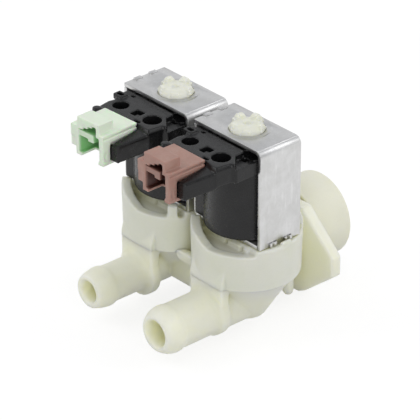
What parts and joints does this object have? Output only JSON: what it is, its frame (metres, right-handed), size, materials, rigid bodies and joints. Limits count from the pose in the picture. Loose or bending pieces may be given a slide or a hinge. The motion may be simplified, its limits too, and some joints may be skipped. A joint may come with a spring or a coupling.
{
  "type": "solenoid inlet valve",
  "caption": "Solenoid water inlet valve of a washing machine: capped inlet, hose tails, mounting plate, and coils in steel yokes with coloured plug housings.",
  "frame": {"origin": "middle of the bounding box in plan, on the plane of the mounting plate's lower edge", "axes": "+Z along the plungers, from the body to the crowns of the coils; +Y towards the inlet and away from the hose tails; X from the green valve to the brown one"},
  "size_m": [0.0698, 0.0882, 0.0735],
  "materials": {
    "nylon_cream": "smooth moulded nylon, slightly translucent",
    "cap_cream": "soft polyethylene cap",
    "yoke_zinc": "zinc plated sheet steel",
    "bush_steel": "rolled steel sleeve",
    "steel_bright": "bright stainless steel",
    "coil_black": "black moulded plastic, finely textured",
    "bobbin_grey": "dark moulded plastic",
    "hub_grey": "dark moulded plastic",
    "winding_copper": "enamelled copper wire",
    "rubber_black": "moulded rubber",
    "regulator_white": "moulded plastic",
    "strainer_grey": "moulded plastic mesh",
    "terminal_tin": "tinned metal",
    "plug_green": "pale green moulded plastic",
    "plug_brown": "red-brown moulded plastic"
  },
  "bodies": {
    "housing": {"bonnet_brown": "nylon_cream", "bonnet_green": "nylon_cream", "bush_lower_brown": "bush_steel", "bush_lower_green": "bush_steel", "bush_upper_brown": "bush_steel", "bush_upper_green": "bush_steel", "coil_bobbin_brown": "bobbin_grey", "coil_bobbin_green": "bobbin_grey", "coil_moulding_brown": "coil_black", "coil_moulding_green": "coil_black", "coil_winding_brown": "winding_copper", "coil_winding_green": "winding_copper", "diaphragm_brown": "rubber_black", "diaphragm_green": "rubber_black", "flow_regulator": "regulator_white", "inlet_cap": "cap_cream", "inlet_strainer": "strainer_grey", "plug_housing_brown": "plug_brown", "plug_housing_green": "plug_green", "plunger_spring_brown": "steel_bright", "plunger_spring_green": "steel_bright", "regulator_ring": "rubber_black", "terminal_a_brown": "terminal_tin", "terminal_a_green": "terminal_tin", "terminal_b_brown": "terminal_tin", "terminal_b_green": "terminal_tin", "valve_body": "nylon_cream", "yoke_lower_brown": "yoke_zinc", "yoke_lower_green": "yoke_zinc", "yoke_upper_brown": "yoke_zinc", "yoke_upper_green": "yoke_zinc"},
    "plunger_green": {"plunger_green": "steel_bright", "plunger_seat_green": "rubber_black"},
    "plunger_brown": {"plunger_brown": "steel_bright", "plunger_seat_brown": "rubber_black"},
    "hub_green": {"diaphragm_hub_green": "hub_grey"},
    "hub_brown": {"diaphragm_hub_brown": "hub_grey"}
  },
  "joints": [
    {"name": "plunger_lift_green", "type": "slide", "parent": "housing", "child": "plunger_green", "axis": [0, 0, 1], "range_m": [0, 0.0025], "stiffness_N_per_m": 120, "springref_m": -0.005, "deforming": ["plunger_spring_green"]},
    {"name": "hub_lift_green", "type": "slide", "parent": "housing", "child": "hub_green", "axis": [0, 0, 1], "range_m": [0, 0.0022]},
    {"name": "plunger_lift_brown", "type": "slide", "parent": "housing", "child": "plunger_brown", "axis": [0, 0, 1], "range_m": [0, 0.0025], "stiffness_N_per_m": 120, "springref_m": -0.005, "deforming": ["plunger_spring_brown"]},
    {"name": "hub_lift_brown", "type": "slide", "parent": "housing", "child": "hub_brown", "axis": [0, 0, 1], "range_m": [0, 0.0022]}
  ],
  "couplings": [
    {"joint": "hub_lift_green", "follows": "plunger_lift_green", "ratio": 0.88},
    {"joint": "hub_lift_brown", "follows": "plunger_lift_brown", "ratio": 0.88}
  ]
}
